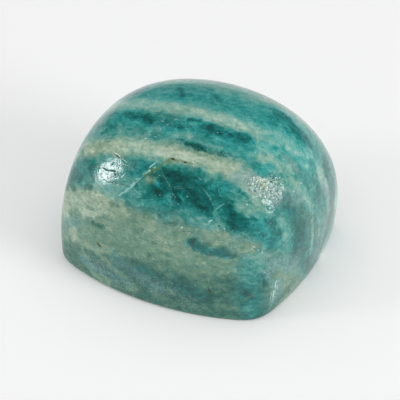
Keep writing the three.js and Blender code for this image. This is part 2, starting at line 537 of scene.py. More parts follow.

# Which kind of feldspar shows where, over the warm layers: pixels, half width in mm and the kind.
# A later one covers an earlier one.
# The hazy kind is partly the stone's own cloudiness and partly painted reflection: the pale floor's
# sheen low on the front, the gloss along the rims and the right highlight.
HUED_PLACES = [
    ([(138, 95), (176, 88), (214, 91), (250, 106), (280, 122), (300, 142)], 4.2, "vivid"),
    ([(116, 118), (146, 120)], 0.8, "vivid"),
    ([(148, 130), (176, 130)], 0.4, "vivid"),
    ([(190, 124), (214, 132), (246, 148)], 1.4, "vivid"),
    ([(262, 146), (280, 150)], 0.6, "vivid"),
    ([(294, 156), (312, 160)], 0.6, "vivid"),
    ([(136, 173), (148, 164)], 0.7, "vivid"),
    ([(262, 170), (271, 170)], 0.8, "vivid"),
    ([(154, 178), (170, 196), (192, 190), (208, 206)], 0.5, "vivid"),
    ([(144, 202), (162, 204)], 0.5, "vivid"),
    ([(217, 190), (226, 190)], 0.7, "vivid"),
    ([(226, 211), (234, 222)], 0.6, "vivid"),
    ([(244, 226), (250, 226)], 0.4, "vivid"),
    ([(262, 226), (272, 240)], 1.2, "vivid"),
    ([(286, 206), (292, 214)], 0.7, "vivid"),
    ([(84, 150), (100, 147), (118, 148)], 0.7, "warm"),
    ([(168, 151), (192, 156), (214, 162), (238, 171)], 1.0, "warm"),
    ([(148, 180), (158, 174)], 0.3, "warm"),
    ([(66, 196), (84, 195), (104, 204), (122, 214), (144, 222)], 1.3, "warm"),
    ([(240, 176), (256, 186), (276, 198), (300, 200)], 1.0, "hazy"),
    ([(262, 184), (266, 188)], 0.4, "warm"),
    ([(290, 160), (300, 174)], 0.4, "hazy"),
    ([(324, 182), (330, 200), (324, 228), (314, 258)], 0.9, "hazy"),
    ([(332, 200), (330, 216)], 0.5, "warm"),
    ([(284, 222), (286, 240)], 0.4, "hazy"),
    ([(272, 218), (284, 226), (292, 246)], 0.8, "cool"),
    ([(250, 262), (272, 266), (296, 262)], 1.6, "hazy"),
    ([(268, 268), (278, 286), (274, 300)], 1.0, "hazy"),
    ([(276, 274), (288, 276)], 0.8, "warm"),
    ([(116, 262), (134, 273), (156, 284)], 0.9, "hazy"),
    ([(182, 288), (206, 298)], 1.0, "cool"),
    ([(252, 266), (249, 288), (252, 313)], 1.8, "cool"),
    ([(192, 243), (204, 250)], 0.6, "cool"),
    ([(206, 251), (232, 256)], 0.4, "cool"),
    ([(140, 268), (156, 276)], 0.5, "cool"),
    ([(84, 262), (104, 270), (124, 284)], 0.6, "hazy"),
    ([(66, 222), (84, 222)], 0.4, "hazy"),
    ([(138, 92), (118, 106), (98, 124)], 0.6, "hazy"),
]

# Where fine pale specks cloud the surface: pixels and half width in mm
SPECKLED_PLACES = [
    ([(88, 258), (108, 272), (128, 286)], 2.2),
    ([(150, 284), (172, 294), (196, 306)], 1.6),
    ([(80, 202), (96, 208), (104, 216)], 1.4),
    ([(266, 262), (282, 278), (296, 270)], 1.8),
    ([(312, 180), (311, 216), (312, 252)], 0.7),
    ([(206, 232), (230, 240), (250, 250)], 1.0),
    ([(160, 240), (176, 244), (186, 250)], 0.8),
    ([(176, 225), (190, 232)], 0.8),
    ([(276, 288), (272, 300)], 0.5),
]

# Healed cracks, seen as thin pale lines: pixels and half width in mm
VEINS = [
    ([(118.5, 196), (124, 192), (130, 187.5), (136, 182.5), (142, 177)], 0.22),
    ([(142, 177), (147, 172.5), (150, 170.5)], 0.18),
    ([(128, 186.8), (138, 178.5), (147, 170.5), (153, 164)], 0.06),
    ([(161, 169), (163, 174), (166, 180), (169, 184), (171.5, 190), (173, 196)], 0.05),
    ([(169, 190), (171, 197), (168, 201)], 0.06),
    ([(172, 193), (175, 198)], 0.06),
    ([(173, 196), (178, 204), (184, 212)], 0.03),
    ([(174, 189), (184, 188), (195, 187.5)], 0.05),
    ([(174, 187), (181, 186.6)], 0.04),
    ([(199, 184), (202, 187.5), (206, 192), (210, 198), (212.5, 203), (214.5, 208)], 0.07),
    ([(195, 175), (201, 180), (208, 181)], 0.05),
    ([(207, 194), (211, 197)], 0.05),
    ([(214, 211), (220, 206.5), (224, 204)], 0.07),
    ([(219, 213), (223, 209)], 0.05),
    ([(217, 184), (220, 195), (227, 204)], 0.04),
    ([(240, 207), (249, 218), (256, 226)], 0.05),
    ([(246, 206), (255, 219)], 0.05),
    ([(252, 206), (260, 220)], 0.05),
    ([(160, 200), (172, 204), (178, 209)], 0.05),
    ([(246, 108), (247, 114), (250, 119)], 0.06),
    ([(312, 178), (313, 200), (312, 226), (312, 254)], 0.08),
    ([(315, 190), (315, 212)], 0.07),
    ([(307, 214), (307, 244)], 0.06),
    ([(284, 216), (287, 232), (283, 246)], 0.06),
]

# Open cracks: pixels, half width in mm and depth in mm
CRACKS = [
    ([(96.5, 163), (97.5, 166.5), (99.8, 168.6)], 0.06, 0.05),
    ([(100.5, 166.4), (103, 168), (106, 169.8), (110, 170.6), (113, 171), (116.8, 172),
      (119.3, 174.8)], 0.085, 0.08),
    ([(120.2, 176.8), (121.6, 175.6), (123.4, 174.4)], 0.08, 0.06),
    ([(112, 176.4), (114.6, 177.9), (117.6, 177.2)], 0.06, 0.05),
    ([(115.2, 174.4), (115.8, 175)], 0.12, 0.10),
    ([(104.6, 180.8), (106.4, 182), (109.6, 183.4)], 0.06, 0.05),
    ([(113, 183), (117, 183.8), (122, 184.7), (129, 186)], 0.08, 0.06),
    ([(110.5, 165.6), (112.4, 164), (114.2, 161.4)], 0.08, 0.05),
    ([(122.4, 160), (125, 161.8), (127, 163.6), (131, 163)], 0.07, 0.05),
    ([(114, 153.6), (117, 155), (119.4, 157.4)], 0.10, 0.05),
    ([(131, 166.6), (133, 167.8), (137, 169)], 0.05, 0.03),
    ([(248.4, 202), (248.6, 205.5)], 0.08, 0.05),
    ([(270.4, 176.4), (272, 176.6)], 0.10, 0.06),
]

# Where the polish is cut by many hair cracks: pixels, half width in mm, how many cracks, and their
# least and greatest length in mm
HAIR_CRACKED_PLACES = [
    ([(102, 176), (110, 178), (122, 180)], 1.0, 12, (0.3, 1.1)),
    ([(246, 212), (256, 220)], 0.9, 8, (0.4, 1.2)),
    ([(88, 196), (96, 208)], 1.2, 14, (0.2, 0.6)),
    ([(240, 172), (250, 184)], 0.8, 10, (0.2, 0.6)),
]
HAIR_CRACK_WIDTH = (0.03, 0.055)  # mm, half of it
HAIR_CRACK_DEPTH = 0.04           # mm
HAIR_CRACK_SLANT = 0.9            # how far hair cracks turn off the layers
HAIR_CRACK_WOBBLE = 0.5           # how much they wander
HAIR_CRACK_STEP = 0.2             # mm
CRACK_STEP = 0.28                 # mm between a crack's bends
CRACK_STRAY = 0.035               # mm that a bend strays

# Iron stain: pixels, half width in mm
STAINS = [
    ([(144, 176), (150, 172.4), (156, 169), (162, 164.6), (167, 160.8), (171, 158.8)], 0.12),
    ([(151, 170.4), (157, 168.4)], 0.22),
    ([(166, 164), (172, 160.4), (178, 161)], 0.10),
    ([(171, 158.8), (176, 159.4), (184, 162), (192, 164)], 0.06),
    ([(242.5, 302.1), (249, 297), (256.3, 292.4)], 0.06),
    ([(96, 241.6), (98.5, 244.6), (101, 247)], 0.20),
]

# Dark mineral grains: pixels and radius in mm
DARK_GRAINS = [
    ([(171.6, 158.8), (173.6, 159)], 0.14),
    ([(179.6, 161)], 0.10),
    ([(184.2, 162), (185.8, 162.8)], 0.12),
    ([(192.4, 163.6)], 0.09),
    ([(152, 171.4)], 0.12),
    ([(156.4, 169.4)], 0.10),
    ([(146, 175.6)], 0.08),
    ([(209.6, 291.2)], 0.28),
    ([(206.2, 290.2)], 0.12),
    ([(97.6, 244), (99.8, 246.6)], 0.14),
    ([(287, 270.5)], 0.10),
    ([(91, 210)], 0.10),
    ([(281.5, 217)], 0.10),
    ([(288, 217.5)], 0.10),
]

# Small fresh breaks with a painted highlight, a near-white glint: pixels and half width in mm
CHIP_GLINTS = [
    ([(148.8, 171.2), (150, 170.4)], 0.10),
    ([(149.6, 167.4), (152, 165.2), (155.6, 163)], 0.08),
    ([(154, 168), (155.4, 167.2)], 0.07),
    ([(144.8, 138.4), (146, 138.4)], 0.10),
    ([(150, 130.8), (152.6, 131)], 0.05),
    ([(154, 136.8), (156.4, 136.4)], 0.05),
    ([(158, 135.4), (160, 134.6)], 0.04),
    ([(160, 129.4), (161.2, 128.8)], 0.05),
    ([(166.4, 124.6), (168.4, 124.2)], 0.05),
    ([(174, 119.4), (177.4, 119.6)], 0.05),
    ([(161, 120), (163.6, 121.6)], 0.05),
    ([(172.6, 152), (174.4, 152.6)], 0.06),
    ([(192.6, 161.6), (193.6, 163)], 0.09),
    ([(246.6, 204), (248, 205)], 0.09),
    ([(209, 221.6), (212, 220.2)], 0.10),
    ([(181, 228.2), (182.6, 227.4)], 0.09),
    ([(224, 229.4), (225, 228.6)], 0.08),
    ([(136, 179.4), (137.4, 178.4)], 0.08),
    ([(208.4, 92.4), (209.6, 93.2)], 0.06),
    ([(300, 182.8), (302, 183.4)], 0.08),
    ([(293.6, 191.4), (294.8, 191.8)], 0.07),
    ([(274, 291), (273, 297)], 0.12),
    ([(276.4, 281), (275, 287)], 0.09),
    ([(271.6, 293), (270.4, 300)], 0.07),
    ([(278, 285), (277.4, 290)], 0.05),
    ([(253.6, 246.6), (255, 247.4)], 0.08),
    ([(257.6, 250), (259, 250.6)], 0.07),
    ([(262, 252.4), (262.8, 253.4)], 0.06),
    ([(196, 229.6), (197.4, 230.6)], 0.06),
    ([(188.6, 233.4), (189.8, 232.8)], 0.06),
    ([(213.6, 231.4), (214.6, 232.4)], 0.06),
    ([(84.4, 205.4), (85.6, 206.4)], 0.07),
    ([(90.4, 212), (91.4, 211.2)], 0.06),
    ([(78.6, 209.2), (79.4, 210.4)], 0.06),
]

# Where the polish is nicked: pixels, half width in mm and nicks per millimetre of the stroke
NICKED_PLACES = [
    ([(160, 121), (176, 126), (190, 127)], 0.6, 10),
    ([(147, 131), (160, 136)], 0.6, 9),
    ([(176, 139), (190, 144), (204, 149)], 0.4, 9),
    ([(206, 149), (226, 156), (238, 158)], 0.4, 10),
    ([(84, 198), (94, 206), (104, 216)], 1.1, 7),
    ([(178, 226), (188, 236)], 0.8, 6),
    ([(150, 240), (170, 244)], 0.5, 5),
    ([(266, 262), (280, 270), (290, 280)], 1.3, 16),
    ([(276, 284), (274, 296), (270, 304)], 0.4, 7),
    ([(312, 190), (312, 246)], 0.3, 3),
    ([(150, 282), (184, 298)], 1.2, 4),
    ([(216, 222), (230, 232), (246, 236)], 0.5, 5),
    ([(242, 170), (252, 182)], 0.5, 5),
    ([(296, 180), (304, 188)], 0.5, 4),
]
NICK_LENGTH = (0.03, 0.25)  # mm
NICK_WIDTH = (0.04, 0.08)   # mm, half of it
NICK_DEPTH = 0.06           # mm
NICK_SLANT = 0.7            # how far nicks turn off the layers
GLINT_LIPS_PER_NICK = 0.6         # how many nicks have a pale lip beside them, a painted glint
GLINT_LIP_OFFSET = 1.8            # nick widths from a nick to its lip
GLINT_LIP_WIDTH = 0.7             # nick widths

# Where the polish is crazed: pixels, half width in mm and how strongly, up to 1
CRAZED_PLACES = [
    ([(254, 184), (264, 190), (276, 194)], 1.6, 0.8),
    ([(271, 179), (280, 184), (276, 200)], 1.1, 1.0),
    ([(262, 202), (272, 208)], 0.7, 0.7),
    ([(101, 176), (108, 170), (118, 160)], 1.4, 0.12),
]

# The random strokes on the unseen sides: how many, their least and greatest lengths and half
# widths in mm, and how much they wander
HIDDEN_STROKES = {
    "bodies": (26, (2, 8), (0.5, 1.8), 0.25),
    "hues": (16, (3, 9), (0.8, 2.4), 0.25),
    "veins": (12, (3, 12), (0.05, 0.10), 0.4),
    "cracks": (6, (3, 9), (0.06, 0.09), 0.5),
    "nicked": (9, (2, 5), (0.6, 1.4), 0.25),
}
HIDDEN_STEP = 0.8            # mm
HIDDEN_PALENESS = (0.1, 0.25, 0.4, 0.6, 0.8)
HIDDEN_COVER = 0.8
HIDDEN_HUES = ("cool", "vivid", "vivid", "hazy")
HIDDEN_CRACK_DEPTH = 0.06    # mm
HIDDEN_NICKS_PER_MM = 5


def hidden_strokes(stone, kind):
    """Random strokes on the unseen sides, mostly along the layers."""
    count, lengths, half_widths, wobble = HIDDEN_STROKES[kind]
    strokes = []
    for _stroke in range(count):
        start = hidden_place(stone)
        length = random.uniform(*lengths)
        line = wandering_line(stone, start, ALONG, length, wobble, HIDDEN_STEP)
        out_of_sight = [place for place in line[1:] if not is_seen(stone, place)]
        strokes.append((np.array([start, *out_of_sight]), random.uniform(*half_widths)))
    return strokes


def bent_pieces(line, half_width, depth=0.0):
    """A crack as short straight pieces that stray a little and thin out towards its ends."""
    ends = [line[0]]
    for start, end in zip(line[:-1], line[1:]):
        steps = max(1, round(np.linalg.norm(end - start) / CRACK_STEP))
        for step in range(1, steps + 1):
            stray = np.array([random.gauss(0, CRACK_STRAY) for _axis in range(3)])
            ends.append(start + (end - start) * step / steps + stray)
    pieces = []
    for i in range(len(ends) - 1):
        taper = math.sin(math.pi * (i + 0.7) / (len(ends) + 0.4)) ** 0.5
        width = half_width * taper * random.uniform(0.6, 1.1)
        pieces.append((np.array(ends[i:i + 2]), width, depth * taper * random.uniform(0.6, 1.0)))
    return pieces


def hair_cracks(stone, line, half_width, count, lengths):
    """Short thin cracks strewn over a stroke, most of them along the layers."""
    cracks = []
    for _crack in range(count):
        start = strewn(stone, line, half_width)
        slant = ALONG + HAIR_CRACK_SLANT * random.gauss(0, 1) * ACROSS
        length = random.uniform(*lengths)
        hair = wandering_line(stone, start, slant, length, HAIR_CRACK_WOBBLE, HAIR_CRACK_STEP)
        cracks += bent_pieces(hair, random.uniform(*HAIR_CRACK_WIDTH), HAIR_CRACK_DEPTH)
    return cracks


def strewn(stone, line, half_width):
    """A random place of the stone within a stroke, in millimetres."""
    stretches = list(zip(line[:-1], line[1:])) or [(line[0], line[0])]
    start, end = random.choice(stretches)
    middle = start + (end - start) * random.random()
    strayed = middle + half_width * np.array([random.gauss(0, 0.6) for _axis in range(3)])
    _found, place, _normal, _face = stone.closest_point_on_mesh(Vector(strayed) * MM)
    return np.array(place) / MM


def nicks_along(stone, line, half_width, nicks_per_mm):
    """Short nicks strewn over a stroke, and a painted glint, a pale lip, beside some of them."""
    nicks = []
    glint_lips = []
    length = np.linalg.norm(np.diff(line, axis=0), axis=1).sum()
    for _nick in range(round(length * nicks_per_mm)):
        start = strewn(stone, line, half_width)
        slant = ALONG + NICK_SLANT * random.gauss(0, 1) * ACROSS
        ends = np.array([start, start + random.uniform(*NICK_LENGTH) * slant])
        width = random.uniform(*NICK_WIDTH)
        nicks.append((ends, width))
        if random.random() < GLINT_LIPS_PER_NICK:
            glint_lips.append((ends - GLINT_LIP_OFFSET * width * ACROSS, GLINT_LIP_WIDTH * width))
    return nicks, glint_lips


def all_marks(stone):
    """Every mark of the stone as strokes, by kind."""
    random.seed(SEED)
    marks = {
        "bodies": placed(stone, BODIES),
        "hues": placed(stone, HUED_PLACES),
        "speckled": placed(stone, SPECKLED_PLACES),
        "stains": placed(stone, STAINS),
        "grains": placed(stone, DARK_GRAINS),
        "crazed": placed(stone, CRAZED_PLACES),
    }
    for stroke in hidden_strokes(stone, "bodies"):
        marks["bodies"].append((*stroke, random.choice(HIDDEN_PALENESS), HIDDEN_COVER))
    for stroke in hidden_strokes(stone, "hues"):
        marks["hues"].append((*stroke, random.choice(HIDDEN_HUES)))
    veins = placed(stone, VEINS) + hidden_strokes(stone, "veins")
    marks["veins"] = [piece for vein in veins for piece in bent_pieces(*vein)]

    cracks = placed(stone, CRACKS)
    cracks += [(*stroke, HIDDEN_CRACK_DEPTH) for stroke in hidden_strokes(stone, "cracks")]
    marks["cracks"] = [piece for crack in cracks for piece in bent_pieces(*crack)]
    for place in placed(stone, HAIR_CRACKED_PLACES):
        marks["cracks"] += hair_cracks(stone, *place)

    nicked = placed(stone, NICKED_PLACES)
    nicked += [(*stroke, HIDDEN_NICKS_PER_MM) for stroke in hidden_strokes(stone, "nicked")]
    marks["nicks"] = []
    marks["chip_glints"] = placed(stone, CHIP_GLINTS)
    for place in nicked:
        nicks, glint_lips = nicks_along(stone, *place)
        marks["nicks"] += nicks
        marks["chip_glints"] += glint_lips
    return marks


# The finer mesh round the marks, and their relief

SMALL_MARKS = ("cracks", "crazed", "grains", "nicks", "chip_glints", "veins", "stains")
CURVE_CELLS = 2         # levels of subdivision of the curve that the finer mesh is held to
MARK_MARGIN = 0.10      # mm of finer mesh beside a mark
CRACK_FLARE = 1.4       # half widths from a crack's bottom to where its sides end
CRAZED_DEPTH = 0.06     # mm
CRAZED_WRINKLE = 0.30   # mm from one wrinkle to the next
CRAZED_FADE = 0.8       # mm from the edge of a crazed place to where it is full
SWELL_DEPTH = 0.05      # mm, the slow waves of a hand-held polish
SWELL_WIDTH = 5.5       # mm
RIPPLE_DEPTH = 0.03     # mm, the finer waves over them
RIPPLE_WIDTH = 1.6      # mm
FOOT_MARGIN = 1.2       # mm above the foot with no relief


def refine_marks(stone, marks):
    """Makes the mesh finer round the small marks, twice over, and keeps it on the stone's curve."""
    choose(stone)
    bpy.ops.object.duplicate()
    curve = bpy.context.active_object
    apply_modifier(curve, "SUBSURF", levels=CURVE_CELLS, render_levels=CURVE_CELLS)
    small_marks = [stroke for kind in SMALL_MARKS for stroke in marks[kind]]
    for margin in (3 * MARK_MARGIN, MARK_MARGIN):
        middles = face_middles(stone)
        near = reach_of(middles, small_marks) > -margin
        edit_faces(stone, near & (middles[:, 2] > FOOT_MARGIN / 2))
        bpy.ops.mesh.subdivide(number_cuts=1, ngon=False)
        leave_edit()
    apply_modifier(stone, "SHRINKWRAP", target=curve, wrap_method="NEAREST_SURFACEPOINT")
    bpy.data.objects.remove(curve)


def write_group(piece, name, weights):
    """Stores a vertex group, with one weight for each vertex."""
    group = piece.vertex_groups.new(name=name)
    for i in np.flatnonzero(weights > 0.001):
        group.add([int(i)], float(weights[i]), "REPLACE")
    return group.name


def press_in(piece, name, weights, depth, texture=None):
    """Moves a piece's surface inwards, by up to a depth in millimetres where the weight is 1."""
    group = write_group(piece, name, weights)
    settings = {"vertex_group": group, "strength": -depth * MM, "mid_level": 0.0}
    if texture:
        settings.update(texture=texture, texture_coords="LOCAL")
    apply_modifier(piece, "DISPLACE", **settings)
    piece.vertex_groups.clear()


def crazing_of(places, crazed_places):
    """How strongly the polish is crazed at each place, from 0 to 1."""
    crazed = np.zeros(len(places))
    for line, half_width, strength in crazed_places:
        share = smooth_step((half_width - distance_to_line(places, line)) / CRAZED_FADE)
        crazed = np.maximum(crazed, strength * share)
    return crazed


def wrinkles(places, crazed):
    """The depth of the crazing, from 0 to 1: short wrinkles that run across the layers."""
    depth = np.zeros(len(places))
    for i in np.flatnonzero(crazed):
        along = places[i] @ ALONG / CRAZED_WRINKLE
        across = places[i] @ ACROSS / (2 * CRAZED_WRINKLE)
        through = places[i] @ THROUGH / (2 * CRAZED_WRINKLE)
        depth[i] = 0.5 + noise.fractal(Vector((along, across, through)), 0.8, 2.0, 2)
    return np.clip(depth, 0, 1)


def relief(stone, marks):
    """Presses the low relief into the stone: slow waves, ripples, crazing, cracks and nicks."""
    places = vertex_places(stone)
    off_foot = np.clip((places[:, 2] - FOOT_MARGIN) / FOOT_MARGIN, 0, 1)

    waves = bpy.data.textures.new("slow_waves", "CLOUDS")
    waves.noise_scale = SWELL_WIDTH * MM
    waves.noise_depth = 1
    press_in(stone, "waves", off_foot, SWELL_DEPTH, waves)
    waves.noise_scale = RIPPLE_WIDTH * MM
    press_in(stone, "ripples", off_foot, RIPPLE_DEPTH, waves)

    crazed = crazing_of(places, marks["crazed"])
    press_in(stone, "crazing", crazed * off_foot * wrinkles(places, crazed), CRAZED_DEPTH)

    depth = np.zeros(len(places))
    for line, half_width, deep in marks["cracks"]:
        share = np.clip(1 - distance_to_line(places, line) / (CRACK_FLARE * half_width), 0, 1)
        depth = np.maximum(depth, deep * share)
    for line, half_width in marks["nicks"]:
        share = np.clip(1 - (distance_to_line(places, line) / half_width) ** 2, 0, 1)
        depth = np.maximum(depth, NICK_DEPTH * share)
    deepest = depth.max()
    press_in(stone, "marks", depth / deepest * off_foot, deepest)


# What the stone's material reads

SWELLING = 0.7               # mm that the layers bulge at the stone's middle
SWELLING_REACH = 13          # mm along the layers from the middle to where they are flat again
SWELLING_SIDES = (0.3, 3.5)  # mm up the layers where the bulge changes side, and from there to full
SWELLING_END = (9, 8)        # mm up the layers where it starts to fade, and from there to none
BODY_FRAY = (0.2, 0.35)      # mm that a body's edge is ragged, and more for each mm of half width
BODY_FADE = (0.6, 0.7)       # mm over which it fades, and more for each mm of half width
HUE_FRAY = 0.8               # mm
HUE_FADE = (0.8, 0.9)        # mm, and more for each mm of half width
SPECKLED_FADE = 1.6          # mm


def write_attribute(piece, name, values):
    """Stores one number for each vertex, for the material to read."""
    attribute = piece.data.attributes.new(name, "FLOAT", "POINT")
    attribute.data.foreach_set("value", np.asarray(values, np.float32))


def ragged(places, scale, seed):
    """Noise for each place, from about -1 to 1, with a grain in millimetres."""
    shift = Vector((seed, 2 * seed, 3 * seed))
    return np.array([noise.fractal(Vector(place) / scale + shift, 0.7, 2.0, 4) for place in places])


def smooth_step(values):
    """Eases values from 0 to 1, and holds them there."""
    share = np.clip(values, 0, 1)
    return share * share * (3 - 2 * share)


def layer_heights(places):
    """Where each place lies through the layers, in millimetres, with their gentle swelling."""
    height = places @ THROUGH
    swelling = SWELLING * np.clip(1 - (places @ ALONG / SWELLING_REACH) ** 2, -1, 1)
    side = np.clip((height - SWELLING_SIDES[0]) / SWELLING_SIDES[1], -1, 1)
    left = np.clip(1 - (height - SWELLING_END[0]) / SWELLING_END[1], 0, 1)
    return height - swelling * side * left


def paint_bodies(stone, places, bodies):
    """How pale the bodies are and how fully they cover, with ragged soft edges."""
    tone = np.interp(layer_heights(places), *zip(*LAYERS))
    cover = np.zeros(len(places))
    edge = ragged(places, 1.2, SEED)
    for line, half_width, paleness, strength in bodies:
        fray = BODY_FRAY[0] + BODY_FRAY[1] * half_width
        fade = BODY_FADE[0] + BODY_FADE[1] * half_width
        reach = half_width - distance_to_line(places, line) + edge * fray
        share = strength * smooth_step(0.5 + reach / fade)
        tone += (paleness - tone) * share
        cover = np.maximum(cover, share)
    write_attribute(stone, "tone", tone)
    write_attribute(stone, "cover", cover)


def paint_stone(stone, marks):
    """Everything that the stone's material reads, at each vertex."""
    places = vertex_places(stone)
    heights = layer_heights(places)
    write_attribute(stone, "layer", heights)
    paint_bodies(stone, places, marks["bodies"])
    edge = ragged(places, 2.2, SEED + 1)
    hues = {
        "warm": np.interp(heights + edge, *zip(*WARM_LAYERS)),
        "vivid": np.zeros(len(places)),
        "hazy": np.zeros(len(places)),
    }
    for line, half_width, hue in marks["hues"]:
        fade = HUE_FADE[0] + HUE_FADE[1] * half_width
        reach = half_width - distance_to_line(places, line) + HUE_FRAY * edge
        share = smooth_step(0.5 + reach / fade)
        for kind in hues:
            hues[kind] += ((kind == hue) - hues[kind]) * share
    for kind, share in hues.items():
        write_attribute(stone, kind, share)
    reach = reach_of(places, marks["speckled"]) + edge
    write_attribute(stone, "speckled", smooth_step(0.5 + reach / SPECKLED_FADE))
    write_attribute(stone, "crazed", crazing_of(places, marks["crazed"]))
    for kind in ("veins", "cracks", "stains", "grains", "nicks", "chip_glints"):
        write_attribute(stone, kind, reach_of(places, marks[kind]))


# The stone's material


def add_node(tree, kind, inputs=(), **settings):
    """Adds a node with its settings, and joins or sets its inputs."""
    node = tree.nodes.new(kind)
    for name, value in settings.items():
        setattr(node, name, value)
    for key, value in dict(inputs).items():
        if isinstance(value, bpy.types.NodeSocket):
            tree.links.new(value, node.inputs[key])
        else:
            node.inputs[key].default_value = value
    return node


def calculate(tree, operation, first, second, third=0.0):
    """One step of arithmetic on two or three values."""
    node = add_node(tree, "ShaderNodeMath", {0: first, 1: second, 2: third}, operation=operation)
    return node.outputs[0]


def read_attribute(tree, name):
    """The value painted on the stone under a name."""
    return add_node(tree, "ShaderNodeAttribute", attribute_name=name).outputs["Fac"]


def ramp(tree, value, stops):
    """Turns a value into a colour or a level, by stops in rising order."""
    low, high = stops[0][0], stops[-1][0]
    node = add_node(tree, "ShaderNodeValToRGB", {"Fac": rescale(tree, value, low, high)})
    elements = node.color_ramp.elements
    for i, (place, colour) in enumerate(stops):
        share = (place - low) / (high - low)
        element = elements[i] if i < 2 else elements.new(share)
        element.position = share
        level = colour if isinstance(colour, tuple) else (colour,) * 3
        element.color = (*level, 1)
    return node.outputs["Color"]


def rescale(tree, value, low, high, new_low=0.0, new_high=1.0, smooth=False):
    """Maps a range of a value to another range, and holds it there."""
    node = add_node(tree, "ShaderNodeMapRange", {
        "Value": value, "From Min": low, "From Max": high, "To Min": new_low, "To Max": new_high})
    if smooth:
        node.interpolation_type = "SMOOTHSTEP"
    return node.outputs["Result"]


def blend_values(tree, factor, first, second):
    """Goes from one value to another as a factor goes from 0 to 1."""
    node = add_node(tree, "ShaderNodeMix", {0: factor, 2: first, 3: second}, data_type="FLOAT")
    return node.outputs[0]


def blend_colours(tree, factor, first, second, way="MIX"):
    """Goes from one colour to another as a factor goes from 0 to 1."""
    node = add_node(tree, "ShaderNodeMix", {0: factor, 6: first, 7: second},
                    data_type="RGBA", blend_type=way)
    return node.outputs[2]


def tint(tree, colour, shade, amount, low, high, strength, smooth=False):
    """Lays a shade over a colour: none where an amount is low, its strength where it is high."""
    share = rescale(tree, amount, low, high, 0, strength, smooth)
    return blend_colours(tree, share, colour, (*shade, 1))


def layer_frame(tree):
    """Millimetres in the layers' own frame: X along them, Y across them and Z through them."""
    places = add_node(tree, "ShaderNodeTexCoord").outputs["Object"]
    turned = Matrix((LAYER_ALONG, LAYER_ACROSS, LAYER_NORMAL)).to_euler()
    mapping = add_node(tree, "ShaderNodeMapping", {
        "Vector": places, "Rotation": turned, "Scale": (1 / MM, 1 / MM, 1 / MM)})
    return mapping.outputs["Vector"]


def stretched(tree, places, along, across, through, offset=(0, 0, 0)):
    """The layers' frame scaled apart in its three directions."""
    mapping = add_node(tree, "ShaderNodeMapping", {
        "Vector": places, "Scale": (along, across, through), "Location": offset})
    return mapping.outputs["Vector"]


def clouds(tree, places, scale, detail=4.0, roughness=0.55, distortion=0.0):
    """Soft noise about 0, from roughly -0.5 to 0.5."""
    node = add_node(tree, "ShaderNodeTexNoise", {
        "Vector": places, "Scale": scale, "Detail": detail, "Roughness": roughness,
        "Distortion": distortion})
    return calculate(tree, "SUBTRACT", node.outputs["Fac"], 0.5)


def srgb(red, green, blue):
    """A screen colour of 0 to 255 as the linear colour that a node wants."""
    levels = (red / 255, green / 255, blue / 255)
    return tuple(v / 12.92 if v <= 0.04045 else ((v + 0.055) / 1.055) ** 2.4 for v in levels)


# The colours of each kind of feldspar, by how pale it is
COOL_FELDSPAR = [
    (-0.2, srgb(0, 62, 58)),
    (0.0, srgb(0, 84, 79)),
    (0.2, srgb(4, 106, 101)),
    (0.4, srgb(38, 130, 123)),
    (0.6, srgb(80, 150, 141)),
    (0.8, srgb(114, 163, 149)),
    (1.0, srgb(144, 182, 164)),
    (1.2, srgb(176, 202, 188)),
]
VIVID_FELDSPAR = [
    (-0.2, srgb(0, 66, 64)),
    (0.0, srgb(2, 88, 86)),
    (0.2, srgb(14, 118, 115)),
    (0.4, srgb(40, 145, 141)),
    (0.6, srgb(74, 162, 155)),
    (0.8, srgb(112, 174, 165)),
    (1.0, srgb(144, 188, 174)),
    (1.2, srgb(176, 202, 190)),
]
WARM_FELDSPAR = [
    (-0.2, srgb(0, 70, 61)),
    (0.0, srgb(8, 88, 77)),
    (0.2, srgb(56, 108, 93)),
    (0.4, srgb(86, 126, 105)),
    (0.6, srgb(110, 143, 121)),
    (0.8, srgb(135, 160, 136)),
    (1.0, srgb(159, 180, 157)),
    (1.2, srgb(184, 200, 180)),
]
# Greyed feldspar, partly the stone's own cloudiness and partly painted reflection of the pale
# floor, the rims' gloss and the right highlight
HAZY_FELDSPAR_AND_SHEEN = [
    (-0.2, srgb(34, 84, 80)),
    (0.0, srgb(50, 98, 94)),
    (0.2, srgb(66, 114, 110)),
    (0.4, srgb(82, 130, 125)),
    (0.6, srgb(100, 144, 139)),
    (0.8, srgb(120, 156, 150)),
    (1.0, srgb(140, 170, 162)),
    (1.2, srgb(166, 184, 177)),
]
# The kinds of feldspar besides the cool one, and how far each one's edge follows the tinge
FELDSPAR_KINDS = [
    ("vivid", VIVID_FELDSPAR, -1.0),
    ("warm", WARM_FELDSPAR, 1.0),
    ("hazy", HAZY_FELDSPAR_AND_SHEEN, -0.8),
]
HEALED_CRACK = srgb(150, 202, 194)
PALE_SPECK = srgb(158, 178, 168)
# pale flecks: partly pale mineral, partly painted glints
PALE_FLECK_AND_GLINT = srgb(160, 212, 203)
DARK_FLECK = srgb(24, 74, 68)
# painted highlight: the near-white glint on fresh chip breaks and beside nicks
PAINTED_GLINT = srgb(196, 230, 222)
IRON_STAIN = srgb(88, 112, 52)
DARK_MINERAL = srgb(42, 38, 22)
# painted shade: the dark inside open cracks and nicks, and between the crazing's facets
CRACK_PAINTED_SHADE = srgb(0, 36, 34)
NICK_PAINTED_SHADE = srgb(0, 44, 42)
# The mottling from coarse to fine: how closely its noise is packed along, across and through the
# layers, the noise's detail, roughness and distortion, and how much it changes the paleness
MOTTLING = [
    ((0.4, 0.4, 0.4), 4, 0.55, 0.8, 0.5),
    ((0.9, 1.2, 1.5), 8, 0.66, 0.5, 1.25),
    ((0.6, 3.5, 6.0), 4, 0.70, 0.0, 0.25),
    ((2.6, 4.0, 5.0), 4, 0.75, 0.0, 0.6),
]
